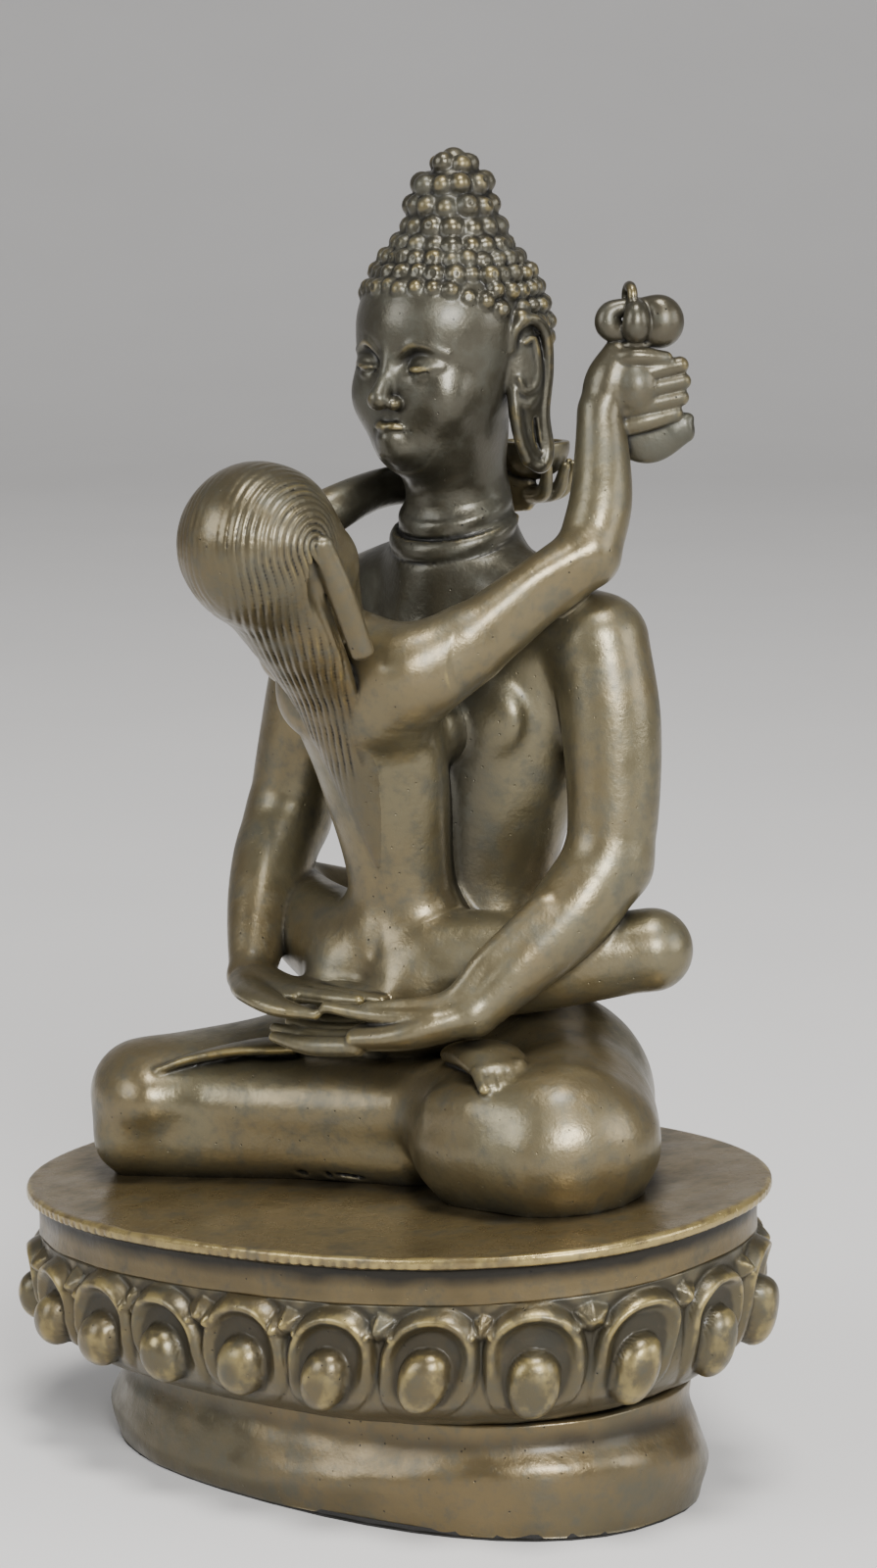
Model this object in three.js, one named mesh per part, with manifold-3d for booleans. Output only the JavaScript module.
// A small patinated brass statue: a seated father figure in lotus posture, with a consort in his lap
// who holds a curved knife, on an oval lotus pedestal.  Millimetres, +Z up, the father faces -Y,
// and the origin is under the middle of the pedestal, on the surface that it stands on.
import * as THREE from 'three';
import { mergeVertices } from 'three/addons/utils/BufferGeometryUtils.js';
import Module from 'manifold-3d';

const wasm = await Module();
wasm.setup();

// ---- Driving dimensions ------------------------------------------------------------------------
const GAP = 0.3;             // air between pieces that touch
const SEAT_LONG = 35.5;      // half length of the seat plate, along X
const SEAT_SHORT = 23.2;     // half depth of the seat plate, along Y
const OVAL_POWER = 2.3;      // 2 is an ellipse, more is squarer
const OVAL_SEGMENTS = 40;

const FELT_TOP = 0.6;
const COVER_THICK = 1.0;
const FOOT_TOP = 9.0;
const RING_TOP = 20.2;
const SEAT_TOP = 24.5;       // all heights are those over the middle of the pedestal
const SEAT_THICK = 2.2;
const RIM_THICK = 0.9;

// The casting isn't level: above the foot's bottom edge it leans more and more, and from the middle
// of the petals up it rises by these slopes along X and Y.
const LEAN = { x: 0.067, y: 0.063, from: 2, full: 15 };

const FOOT_HALF = 28.8;      // half length of the foot at its bulge
const FOOT_WAIST = 27.4;     // at the hollow neck under the petals
const FOOT_SLIMMER = 0.935;  // how much shallower the foot's oval is than the seat's
const FOOT_SHIFT = [2.1, -0.7];
const RING_HALF = 34.0;      // of the petal ring's body
const BAND_HALF = 34.2;      // of the plain band under the rim
const WALL = 2.6;

const PETALS = 21;
const PETAL_START = 0.13;      // how far the first petal is from +X, in petals
const PETAL = { tall: 4.1, wide: 3.75, proud: 2.4, z: 16 };

const SCREW = { x: 9, y: 9, shank: 1.5, head: 2.8, headTall: 2, tip: 31 };
const WASHER = { outer: 3.6, thick: 0.6 };

const PATINA = 0x736546;
const WORN_BRASS = 0x8f7a45;
const RAW_BRASS = 0xa08a52;
const FELT_BLACK = 0x1d1c1a;
const STEEL = 0x8c8c88;

// ---- Meshes and booleans ----------------------------------------------------------------------
function merged(geometry) {
  const bare = geometry.clone();
  bare.deleteAttribute('normal');
  bare.deleteAttribute('uv');
  return mergeVertices(bare, 1e-4);
}

function solid(geometry) {
  const bare = merged(geometry);
  const vertProperties = new Float32Array(bare.attributes.position.array);
  const triVerts = new Uint32Array(bare.index.array);
  return new wasm.Manifold(new wasm.Mesh({ numProp: 3, vertProperties, triVerts }));
}

function geometryOf(body) {
  const mesh = body.getMesh();
  const geometry = new THREE.BufferGeometry();
  geometry.setAttribute('position', new THREE.BufferAttribute(mesh.vertProperties, 3));
  geometry.setIndex(new THREE.BufferAttribute(mesh.triVerts, 1));
  return geometry;
}

const joined = (bodies) => bodies.reduce((all, body) => all.add(body));

const turned = (geometry, matrix) => geometry.clone().applyMatrix4(matrix);

// ---- Shapes -----------------------------------------------------------------------------------
// A limb is a round-ended tube along a smooth curve.  wide and deep are its half sizes at each
// point of the path; wide is measured along `side` and deep across it.
const LIMB_CAP_ROWS = 2;

function limbGeometry({ path, wide, deep = wide, side = [1, 0, 0], sides = 10, steps = 6 }, grow = 0) {
  const centre = new THREE.CatmullRomCurve3(path.map((p) => new THREE.Vector3(...p)));
  const size = new THREE.CatmullRomCurve3(wide.map((w, i) => new THREE.Vector3(w, deep[i], 0)));
  const rows = steps + 2 * LIMB_CAP_ROWS;
  const geometry = merged(new THREE.SphereGeometry(1, sides, rows));
  const position = geometry.attributes.position;
  for (let i = 0; i < position.count; i += 1) {
    const unit = new THREE.Vector3().fromBufferAttribute(position, i);
    const row = Math.round((Math.acos(THREE.MathUtils.clamp(unit.y, -1, 1)) / Math.PI) * rows);
    position.setXYZ(i, ...limbPoint(centre, size, unit, row, rows, side, grow));
  }
  return geometry;
}

function limbPoint(centre, size, unit, row, rows, side, grow) {
  const t = THREE.MathUtils.clamp((row - LIMB_CAP_ROWS) / (rows - 2 * LIMB_CAP_ROWS), 0, 1);
  const capRow = Math.min(row, rows - row, LIMB_CAP_ROWS);
  const capAngle = (capRow / LIMB_CAP_ROWS) * (Math.PI / 2);
  const tangent = centre.getTangent(t);
  const across = new THREE.Vector3(...side).addScaledVector(tangent, -tangent.dot(new THREE.Vector3(...side)));
  across.normalize();
  const over = new THREE.Vector3().crossVectors(tangent, across);
  const half = size.getPoint(t);
  const turn = Math.atan2(unit.z, unit.x);
  const isPole = row === 0 || row === rows;
  const radial = isPole ? 0 : Math.sin(capAngle);
  const outward = (row < rows / 2 ? -1 : 1) * Math.cos(capAngle) * (Math.min(half.x, half.y) + grow);
  return centre.getPoint(t)
    .addScaledVector(tangent, outward)
    .addScaledVector(across, Math.cos(turn) * radial * (half.x + grow))
    .addScaledVector(over, Math.sin(turn) * radial * (half.y + grow))
    .toArray();
}

// Warping can turn a surface inside out; a negative volume is put right by flipping its triangles.
function limb(spec, grow = 0) {
  const geometry = limbGeometry(spec, grow);
  if (signedVolume(geometry) < 0) flip(geometry);
  return solid(geometry);
}

function signedVolume(geometry) {
  const { position } = geometry.attributes;
  const index = geometry.index.array;
  const corner = (i) => new THREE.Vector3().fromBufferAttribute(position, index[i]);
  let volume = 0;
  for (let i = 0; i < index.length; i += 3) volume += corner(i).dot(corner(i + 1).cross(corner(i + 2))) / 6;
  return volume;
}

function flip(geometry) {
  const index = geometry.index.array;
  for (let i = 0; i < index.length; i += 3) [index[i], index[i + 1]] = [index[i + 1], index[i]];
}

const limbs = (specs, grow = 0) => joined(specs.map((spec) => limb(spec, grow)));

function ball([x, y, z], [rx, ry, rz], grow = 0, sides = 12, rows = 8) {
  const geometry = new THREE.SphereGeometry(1, sides, rows);
  geometry.rotateX(Math.PI / 2);
  geometry.scale(rx + grow, ry + grow, rz + grow);
  geometry.translate(x, y, z);
  return solid(geometry);
}

// A ring or plate of oval outline from a closed profile of [half length, height] points.
function oval(profile, segments = OVAL_SEGMENTS) {
  const points = profile.map(([half, z]) => new THREE.Vector2(half, z));
  const geometry = new THREE.LatheGeometry([...points, points[0].clone()], segments);
  geometry.rotateX(Math.PI / 2);
  const position = geometry.attributes.position;
  for (let i = 0; i < position.count; i += 1) {
    const [x, y] = ovalPoint(Math.hypot(position.getX(i), position.getY(i)),
      Math.atan2(position.getY(i), position.getX(i)));
    position.setXY(i, x, y);
  }
  const bare = merged(geometry);
  if (signedVolume(bare) < 0) flip(bare);
  return bare;
}

function ovalPoint(half, angle) {
  const bend = (value) => Math.sign(value) * Math.abs(value) ** (2 / OVAL_POWER);
  return [half * bend(Math.cos(angle)), half * (SEAT_SHORT / SEAT_LONG) * bend(Math.sin(angle))];
}

function leaned(body) {
  return body.warp((point) => {
    const share = THREE.MathUtils.clamp((point[2] - LEAN.from) / (LEAN.full - LEAN.from), 0, 1);
    point[2] += share * (LEAN.x * point[0] + LEAN.y * point[1]);
  });
}

function post(x, y, radius, bottom, top, sides = 16) {
  const geometry = new THREE.CylinderGeometry(radius, radius, top - bottom, sides);
  geometry.rotateX(Math.PI / 2);
  geometry.translate(x, y, (top + bottom) / 2);
  return solid(geometry);
}

// ---- Pedestal ---------------------------------------------------------------------------------
// The foot was set a little to one side of the seat above it.
const footOval = (profile) => oval(profile).scale(1, FOOT_SLIMMER, 1).translate(...FOOT_SHIFT, 0);

function feltPad() {
  const half = FOOT_HALF - 0.6;
  return solid(footOval([[0, 0], [half, 0], [half, FELT_TOP], [0, FELT_TOP]]));
}

function baseCover() {
  const bottom = FELT_TOP + GAP;
  const half = FOOT_HALF - WALL - GAP;
  return solid(footOval([[0, bottom], [half, bottom], [half, bottom + COVER_THICK], [0, bottom + COVER_THICK]]));
}

function pedestalFoot() {
  const bottom = FELT_TOP + GAP;
  return leaned(solid(footOval([
    [FOOT_HALF - 0.5, bottom], [FOOT_HALF, 2.4], [FOOT_HALF, 4.2], [FOOT_HALF - 0.6, 5.8],
    [FOOT_WAIST, 7.6], [FOOT_WAIST + 0.6, FOOT_TOP],
    [FOOT_WAIST - WALL, FOOT_TOP], [FOOT_HALF - WALL, 6], [FOOT_HALF - WALL, bottom],
  ])));
}

function petal(index) {
  const along = (index + PETAL_START) / PETALS;
  const [x, y, angle] = evenlyRoundOval(RING_HALF, along);
  const geometry = new THREE.SphereGeometry(1, 6, 4);
  geometry.rotateX(Math.PI / 2);
  geometry.scale(PETAL.proud, PETAL.wide, PETAL.tall);
  const place = new THREE.Matrix4().makeRotationZ(angle).setPosition(x, y, PETAL.z);
  return solid(turned(geometry, place));
}

// The point a fraction of the way round the oval by length, and the direction that faces out there.
function evenlyRoundOval(half, fraction, samples = 720) {
  const points = Array.from({ length: samples + 1 }, (_, i) => ovalPoint(half, (i / samples) * 2 * Math.PI));
  const lengths = [0];
  for (let i = 1; i <= samples; i += 1) {
    lengths.push(lengths[i - 1] + Math.hypot(points[i][0] - points[i - 1][0], points[i][1] - points[i - 1][1]));
  }
  const target = fraction * lengths[samples];
  const found = Math.min(Math.max(lengths.findIndex((length) => length >= target), 1), samples);
  const [ax, ay] = points[found - 1];
  const [bx, by] = points[found];
  return [bx, by, Math.atan2(ax - bx, by - ay)];
}

function petalRing() {
  const bottom = FOOT_TOP + GAP;
  const body = solid(oval([
    [RING_HALF - 4, bottom], [RING_HALF - 1.4, 11.6], [RING_HALF, 14.5], [RING_HALF - 0.3, RING_TOP],
    [RING_HALF - WALL - 2, RING_TOP], [RING_HALF - WALL - 3, 13], [FOOT_WAIST - WALL - 1, bottom + 0.6],
    [FOOT_WAIST - WALL - 1, bottom],
  ]));
  const petals = Array.from({ length: PETALS }, (_, index) => petal(index));
  const core = solid(oval([[0, 8], [RING_HALF - 1.2, 8], [RING_HALF - 1.2, RING_TOP + 3], [0, RING_TOP + 3]]));
  return leaned(body.add(joined(petals).subtract(core)));
}

function seatPlate() {
  const bottom = RING_TOP + GAP;
  const under = SEAT_TOP - SEAT_THICK;
  const plate = solid(oval([
    [0, under], [BAND_HALF - WALL, under], [BAND_HALF - WALL, bottom], [BAND_HALF, bottom],
    [BAND_HALF, SEAT_TOP - RIM_THICK - 0.6], [SEAT_LONG, SEAT_TOP - RIM_THICK], [SEAT_LONG, SEAT_TOP - 0.15],
    [SEAT_LONG - 0.4, SEAT_TOP], [0, SEAT_TOP],
  ]));
  return leaned(plate.subtract(screwHoles(SCREW.shank + GAP, under - 1, SEAT_TOP + 1)));
}

const screwPost = (hand, radius, bottom, top, sides) => post(hand * SCREW.x, SCREW.y, radius, bottom, top, sides);
const screwHoles = (radius, bottom, top) => joined([-1, 1].map((hand) => screwPost(hand, radius, bottom, top)));

function fixingWasher(hand) {
  const top = SEAT_TOP - SEAT_THICK - GAP;
  return leaned(screwPost(hand, WASHER.outer, top - WASHER.thick, top)
    .subtract(screwPost(hand, SCREW.shank + GAP, top - 2, top + 1)));
}

function fixingScrew(hand) {
  const headTop = SEAT_TOP - SEAT_THICK - GAP - WASHER.thick - GAP;
  return leaned(screwPost(hand, SCREW.head, headTop - SCREW.headTall, headTop)
    .add(screwPost(hand, SCREW.shank, headTop - 0.5, SCREW.tip - GAP)));
}

// ---- Father figure ----------------------------------------------------------------------------
const UP = [0, 0, 1];

const FATHER_LEGS = [
  { path: [[-8, 11, 32], [-15, 4, 30], [-23, -5.4, 29.2]], wide: [8.5, 7, 7], deep: [8.5, 5.6, 4.6],
    side: [0, 1, 0], sides: 12, steps: 4 },
  { path: [[8, 11, 32], [14.5, 6, 31.5], [20, -0.9, 30.8]], wide: [8.5, 7.8, 7.8], deep: [8.5, 7, 6.6],
    side: [0, 1, 0], sides: 12, steps: 4 },
  { path: [[-22, -4.6, 29], [-9, -1, 29.4], [2, 0, 30.5], [11, -1, 34]], wide: [4.8, 4.6, 4.2, 3],
    deep: [5, 4.8, 4.4, 2.6], side: [0, 1, 0] },
  { path: [[-10, 10, 31], [10, 10, 31]], wide: [8.5, 8.5], deep: [8.5, 8.5], side: [0, 1, 0], sides: 12, steps: 3 },
  { path: [[-22, -5, 25.2], [-9, -1, 25.8], [3, 1, 26.4]], wide: [6, 4.4, 4.2], deep: [3.4, 3, 2.8],
    side: [0, 1, 0], steps: 4 },
];
const RIGHT_FOOT = { path: [[9, -4.6, 35.8], [14, -3, 37], [19, -0.5, 37.2]], wide: [2, 2.4, 1.6], deep: [1.2, 1.4, 1],
  side: [0, 1, 0], steps: 4, sides: 8 };
const LEFT_FOOT = { path: [[-9, -4.5, 34.6], [-15, -6.5, 34], [-20, -8.5, 33.2]], wide: [2, 1.8, 0.9],
  deep: [1.2, 1, 0.7], side: [0, 1, 0], steps: 4, sides: 8 };

const FATHER_TORSO = [
  { path: [[0, 10, 38], [0, 10, 44], [0, 9.8, 51], [0, 9.2, 61], [0, 9.2, 68], [0, 9.5, 74]],
    wide: [11.5, 9.8, 9, 12.2, 13.2, 9.5], deep: [8.2, 7.2, 6.6, 7.4, 7, 5.2], side: [1, 0, 0], sides: 16, steps: 8 },
  { path: [[-13.5, 9, 71], [-6, 9.4, 73.6], [0, 9.6, 74.8], [6, 9.4, 73.6], [13.5, 9, 71]],
    wide: [4.4, 4.8, 5, 4.8, 4.4], deep: [4.4, 4.6, 4.6, 4.6, 4.4], side: [0, 1, 0] },
];
const FATHER_NECK = { path: [[0, 9.6, 74], [0, 9.2, 80], [0, 8.6, 88]], wide: [5.4, 4.4, 4.4], deep: [5, 4.3, 4.6],
  side: [1, 0, 0], steps: 4, sides: 12 };
const FATHER_FACE = { path: [[0, 5.6, 89.4], [0, 6.8, 95], [0, 7.6, 99.5]], wide: [5.4, 7.2, 7.2],
  deep: [5.4, 7.2, 7.4], side: [1, 0, 0], steps: 5, sides: 14 };
const FATHER_HAIR = { centre: [0, 8.6, 98.4], half: [8, 8, 7.2] };
const USHNISHA = [
  { z: 104.4, radius: 4.9 }, { z: 106.6, radius: 3.9 }, { z: 108.6, radius: 2.9 }, { z: 110.2, radius: 1.9 },
];
const USHNISHA_Y = 8.8;
const CROWN_JEWEL = { centre: [0, USHNISHA_Y, 111], radius: 1.25 };
const EARS = [-1, 1].map((hand) => ({
  path: [[hand * 7.3, 7.6, 95], [hand * 7.4, 7.4, 90], [hand * 6.6, 7.4, 86]], wide: [1.6, 1.2, 1.4],
  deep: [0.9, 0.8, 0.8], side: [0, 1, 0], steps: 4, sides: 8,
}));

const FATHER_LEFT_UPPER_ARM = { path: [[15.6, 9, 71.4], [17, 8.4, 64], [18, 7.4, 53.4]], wide: [4.2, 4.1, 3.7],
  deep: [4.2, 4, 3.8], side: UP, steps: 4 };
const FATHER_RIGHT_UPPER_ARM = { ...FATHER_LEFT_UPPER_ARM, path: [[-14.4, 9, 71.2], [-16.2, 8.4, 64], [-18, 7.4, 53.4]] };
const FATHER_FOREARM = { path: [[18, 7.2, 52.6], [15.8, 1.6, 46.4], [12.2, -3.8, 41]], wide: [3.7, 3.1, 2.1],
  deep: [3.7, 3, 2], side: UP, steps: 4 };
const FATHER_LEFT_HAND = { path: [[12, -4.4, 40.6], [6, -8, 38.8], [-3, -8.8, 37.6]], wide: [2.3, 3, 1.8],
  deep: [1.8, 1.7, 1.2], side: [0, 1, 0], steps: 4, sides: 8 };
const FATHER_RIGHT_HAND = { path: [[-12, -4.2, 40.8], [-6.6, -6.2, 40.8], [-0.6, -6.4, 41.2]], wide: [2, 2.6, 1.6],
  deep: [1.6, 1.2, 0.9], side: [0, 1, 0], steps: 4, sides: 8 };

// ---- Consort figure ---------------------------------------------------------------------------
const CONSORT_TORSO = [
  { path: [[0, 1.4, 43], [0.4, 0.8, 50], [0.3, -1.6, 60], [0, -3.2, 68]], wide: [8, 4.9, 7.2, 7.6],
    deep: [5.4, 3.7, 4.6, 4.2], side: [1, 0, 0], sides: 14 },
  { path: [[-6.8, -3.6, 69.4], [0, -4, 70.4], [6.8, -3.6, 69.4]], wide: [3, 3.4, 3], deep: [3, 3.2, 3],
    side: UP, steps: 4 },
];
const CONSORT_NECK = { path: [[0, -5, 70.6], [0, -10.5, 76]], wide: [3, 3.2], side: [1, 0, 0], steps: 3 };
const CONSORT_HEAD = { centre: [-0.8, -15.4, 80.2], half: [6.4, 6.6, 6.7] };
const CONSORT_HAIR = [
  { path: [[-0.6, -14.6, 77], [0, -10.6, 70.4], [0.4, -7.2, 62], [0.8, -3.6, 52.6]], wide: [5.4, 4.6, 3.4, 1.4],
    deep: [3.4, 2, 1.1, 0.8], side: [1, 0, 0] },
  { path: [[4.2, -13.4, 79], [6.4, -9.8, 75], [6, -6.8, 70.8]], wide: [1.2, 1.4, 1], side: UP, steps: 4, sides: 8 },
];
const CONSORT_RIGHT_ARM = [
  { path: [[8.2, -3, 70.2], [12, 2, 74.6], [16, 7, 78.8]], wide: [3, 2.8, 2.6], side: UP, steps: 4 },
  { path: [[16, 7.2, 79], [15.4, 9.2, 84.6], [14.2, 10.4, 90]], wide: [2.7, 2.5, 1.8], side: [1, 0, 0], steps: 4 },
];
const CONSORT_FIST = { centre: [16.8, 13.2, 92.4], half: [3, 3.2, 2.7] };
const CONSORT_LEFT_ARM = [
  { path: [[-8.6, -2.6, 70.6], [-11.8, 0.4, 74.6], [-13.8, 4, 79]], wide: [2.8, 2.7, 2.4], side: UP, steps: 4 },
  { path: [[-13.8, 4.2, 79.2], [-9.4, 9.6, 82], [-5, 14.6, 81.8], [0.4, 17.6, 81.2]], wide: [2.4, 1.9, 1.5, 1.6],
    side: UP, steps: 6 },
];
const consortLeg = (hand) => [
  { path: [[hand * 5, 1, 43.4], [hand * 13, 4.6, 44.4], [hand * 20.4, 9.6, 45.6]], wide: [4.8, 4.1, 3.5],
    deep: [4.8, 3.9, 3.5], side: UP, steps: 5 },
  { path: [[hand * 20.4, 10, 45.6], [hand * 14.6, 16.4, 43.6], [hand * 5, 19.2, 41.4]], wide: [3.5, 2.9, 2],
    side: UP, steps: 5 },
];

const KNIFE = { x: 16.6, y: 13.4, shaft: 0.9, bladeTop: 89.4, knobZ: 97.2 };
const SKULL_CUP = { x: 0.6, y: 18.6, bottom: 83.7, radius: 3.2, height: 3.3, wall: 0.8 };

// ---- Cutting the figures into their castings --------------------------------------------------
// Each casting is cut by the castings that were set before it, with the gap all round.
const legsCut = () => limbs(FATHER_LEGS, GAP);
const torsoCut = () => limbs(FATHER_TORSO, GAP);
const belowSeat = () => leaned(solid(oval(
  [[0, SEAT_TOP - 9], [60, SEAT_TOP - 9], [60, SEAT_TOP + GAP], [0, SEAT_TOP + GAP]], 24)));

function mirroredX(spec) {
  return { ...spec, path: spec.path.map(([x, y, z]) => [-x, y, z]) };
}

const fatherRightArmSpecs = () => [FATHER_RIGHT_UPPER_ARM, mirroredX(FATHER_FOREARM), FATHER_RIGHT_HAND];
const fatherLeftArmSpecs = () => [FATHER_LEFT_UPPER_ARM, FATHER_FOREARM, FATHER_LEFT_HAND];

function fatherLegs() {
  return limbs([...FATHER_LEGS, RIGHT_FOOT, LEFT_FOOT])
    .subtract(belowSeat())
    .subtract(leaned(screwHoles(SCREW.shank + GAP, SEAT_TOP - 1, SCREW.tip)));
}

const fatherTorso = () => limbs(FATHER_TORSO).subtract(legsCut()).subtract(limb(FATHER_NECK, GAP));

const ushnisha = () => joined(USHNISHA.map(({ z, radius }) =>
  ball([0, USHNISHA_Y, z], [radius, radius, 1.9], 0, 10, 4)));

function fatherHead() {
  const face = limbs([FATHER_NECK, FATHER_FACE, ...EARS]);
  return face.add(ball(FATHER_HAIR.centre, FATHER_HAIR.half, 0, 14, 6)).add(ushnisha())
    .subtract(ball(CROWN_JEWEL.centre, Array(3).fill(CROWN_JEWEL.radius), GAP, 10, 6));
}

const crownJewel = () => ball(CROWN_JEWEL.centre, Array(3).fill(CROWN_JEWEL.radius), 0, 10, 6);

const fatherLeftArm = () => limbs(fatherLeftArmSpecs()).subtract(torsoCut()).subtract(legsCut());

function fatherRightArm() {
  return limbs(fatherRightArmSpecs()).subtract(torsoCut()).subtract(legsCut())
    .subtract(limb(FATHER_LEFT_HAND, GAP));
}

const fatherCut = () => torsoCut().add(legsCut()).add(limb(FATHER_NECK, GAP)).add(limb(FATHER_FACE, GAP))
  .add(limbs(fatherLeftArmSpecs(), GAP)).add(limbs(fatherRightArmSpecs(), GAP)).add(limb(RIGHT_FOOT, GAP));

const consortTorso = () => limbs(CONSORT_TORSO).subtract(fatherCut())
  .subtract(limbs(CONSORT_HAIR, GAP));

const consortHead = () => limb(CONSORT_NECK).add(ball(CONSORT_HEAD.centre, CONSORT_HEAD.half, 0, 16, 10))
  .subtract(limbs(CONSORT_TORSO, GAP)).subtract(fatherCut()).subtract(limbs(CONSORT_HAIR, GAP));

const consortHair = () => limbs(CONSORT_HAIR);

const consortCut = () => limbs(CONSORT_TORSO, GAP).add(limbs(CONSORT_HAIR, GAP));

const consortRightArm = () => limbs(CONSORT_RIGHT_ARM).add(ball(CONSORT_FIST.centre, CONSORT_FIST.half))
  .subtract(fatherCut()).subtract(consortCut())
  .subtract(post(KNIFE.x, KNIFE.y, KNIFE.shaft + GAP, KNIFE.bladeTop - 3, KNIFE.knobZ + 4, 8));

const consortLeftArm = () => limbs(CONSORT_LEFT_ARM).subtract(fatherCut()).subtract(consortCut())
  .subtract(ball(CONSORT_HEAD.centre, CONSORT_HEAD.half, GAP, 16, 10)).subtract(skullCupEnvelope(GAP));

// The two shins meet behind the father's back; the left one is cut where it would run into the right.
const consortRightLeg = () => limbs(consortLeg(1)).subtract(fatherCut()).subtract(consortCut());
const consortLeftLeg = () => limbs(consortLeg(-1)).subtract(fatherCut()).subtract(consortCut())
  .subtract(limbs(consortLeg(1), GAP));

// ---- What the consort holds -------------------------------------------------------------------
function knifeHandle() {
  const { x, y, shaft, bladeTop, knobZ } = KNIFE;
  const ring = new THREE.TorusGeometry(1, 0.4, 6, 12);
  ring.rotateY(Math.PI / 2);
  ring.translate(x - 0.6, y, knobZ + 3.2);
  return post(x, y, shaft, bladeTop - 0.6, knobZ, 8)
    .add(ball([x, y, knobZ], [3, 2.4, 1.9], 0, 10, 6))
    .add(ball([x - 0.6, y, knobZ + 2], [1.4, 1.4, 0.9], 0, 8, 4))
    .add(solid(ring));
}

// The blade is a crescent that hangs under the fist, its points turned up.
function knifeBlade() {
  const outline = new THREE.Shape();
  outline.absarc(0, 0, 3.9, Math.PI * 1.02, Math.PI * 1.98, false);
  outline.absarc(0, 1.1, 3.6, Math.PI * 1.9, Math.PI * 1.1, true);
  outline.closePath();
  const geometry = new THREE.ExtrudeGeometry(outline, { depth: 1.4, bevelEnabled: false, curveSegments: 8 });
  geometry.rotateX(Math.PI / 2);
  geometry.translate(KNIFE.x, KNIFE.y + 0.7, KNIFE.bladeTop);
  return solid(geometry);
}

const skullCupEnvelope = (grow) => post(SKULL_CUP.x, SKULL_CUP.y, SKULL_CUP.radius + grow,
  SKULL_CUP.bottom - grow, SKULL_CUP.bottom + SKULL_CUP.height + grow);

function skullCup() {
  const { x, y, bottom, radius, height, wall } = SKULL_CUP;
  const profile = [
    [0, 0], [radius * 0.6, 0], [radius * 0.92, height * 0.4], [radius, height], [radius - wall, height],
    [radius * 0.92 - wall, height * 0.5], [radius * 0.45, wall], [0, wall],
  ];
  const geometry = new THREE.LatheGeometry(profile.map(([r, z]) => new THREE.Vector2(r, z)), 16);
  geometry.rotateX(Math.PI / 2);
  geometry.translate(x, y, bottom);
  const bare = merged(geometry);
  if (signedVolume(bare) < 0) flip(bare);
  return solid(bare);
}

// ---- The assembly -----------------------------------------------------------------------------
const finish = (color, roughness, metalness) => ({ color, roughness, metalness });
const PATINA_FINISH = finish(PATINA, 0.45, 0.8);
const WORN_FINISH = finish(WORN_BRASS, 0.4, 0.85);
const RAW_FINISH = finish(RAW_BRASS, 0.4, 0.9);
const STEEL_FINISH = finish(STEEL, 0.4, 0.9);

const PIECES = [
  ['felt_pad', feltPad, finish(FELT_BLACK, 0.95, 0)],
  ['base_cover', baseCover, RAW_FINISH],
  ['pedestal_foot', pedestalFoot, PATINA_FINISH],
  ['lotus_petal_ring', petalRing, WORN_FINISH],
  ['seat_plate', seatPlate, PATINA_FINISH],
  ['fixing_washer_left', () => fixingWasher(1), STEEL_FINISH],
  ['fixing_washer_right', () => fixingWasher(-1), STEEL_FINISH],
  ['fixing_screw_left', () => fixingScrew(1), STEEL_FINISH],
  ['fixing_screw_right', () => fixingScrew(-1), STEEL_FINISH],
  ['father_legs', fatherLegs, PATINA_FINISH],
  ['father_torso', fatherTorso, PATINA_FINISH],
  ['father_head', fatherHead, PATINA_FINISH],
  ['crown_jewel', crownJewel, WORN_FINISH],
  ['father_left_arm', fatherLeftArm, PATINA_FINISH],
  ['father_right_arm', fatherRightArm, PATINA_FINISH],
  ['consort_torso', consortTorso, PATINA_FINISH],
  ['consort_head', consortHead, PATINA_FINISH],
  ['consort_hair', consortHair, PATINA_FINISH],
  ['consort_right_arm', consortRightArm, PATINA_FINISH],
  ['consort_left_arm', consortLeftArm, PATINA_FINISH],
  ['consort_right_leg', consortRightLeg, PATINA_FINISH],
  ['consort_left_leg', consortLeftLeg, PATINA_FINISH],
  ['knife_handle', knifeHandle, PATINA_FINISH],
  ['knife_blade', knifeBlade, PATINA_FINISH],
  ['skull_cup', skullCup, PATINA_FINISH],
];

const statue = new THREE.Group();
for (const [name, make, look] of PIECES) {
  const mesh = new THREE.Mesh(geometryOf(make()), new THREE.MeshStandardMaterial(look));
  mesh.name = name;
  statue.add(mesh);
}

export default statue;
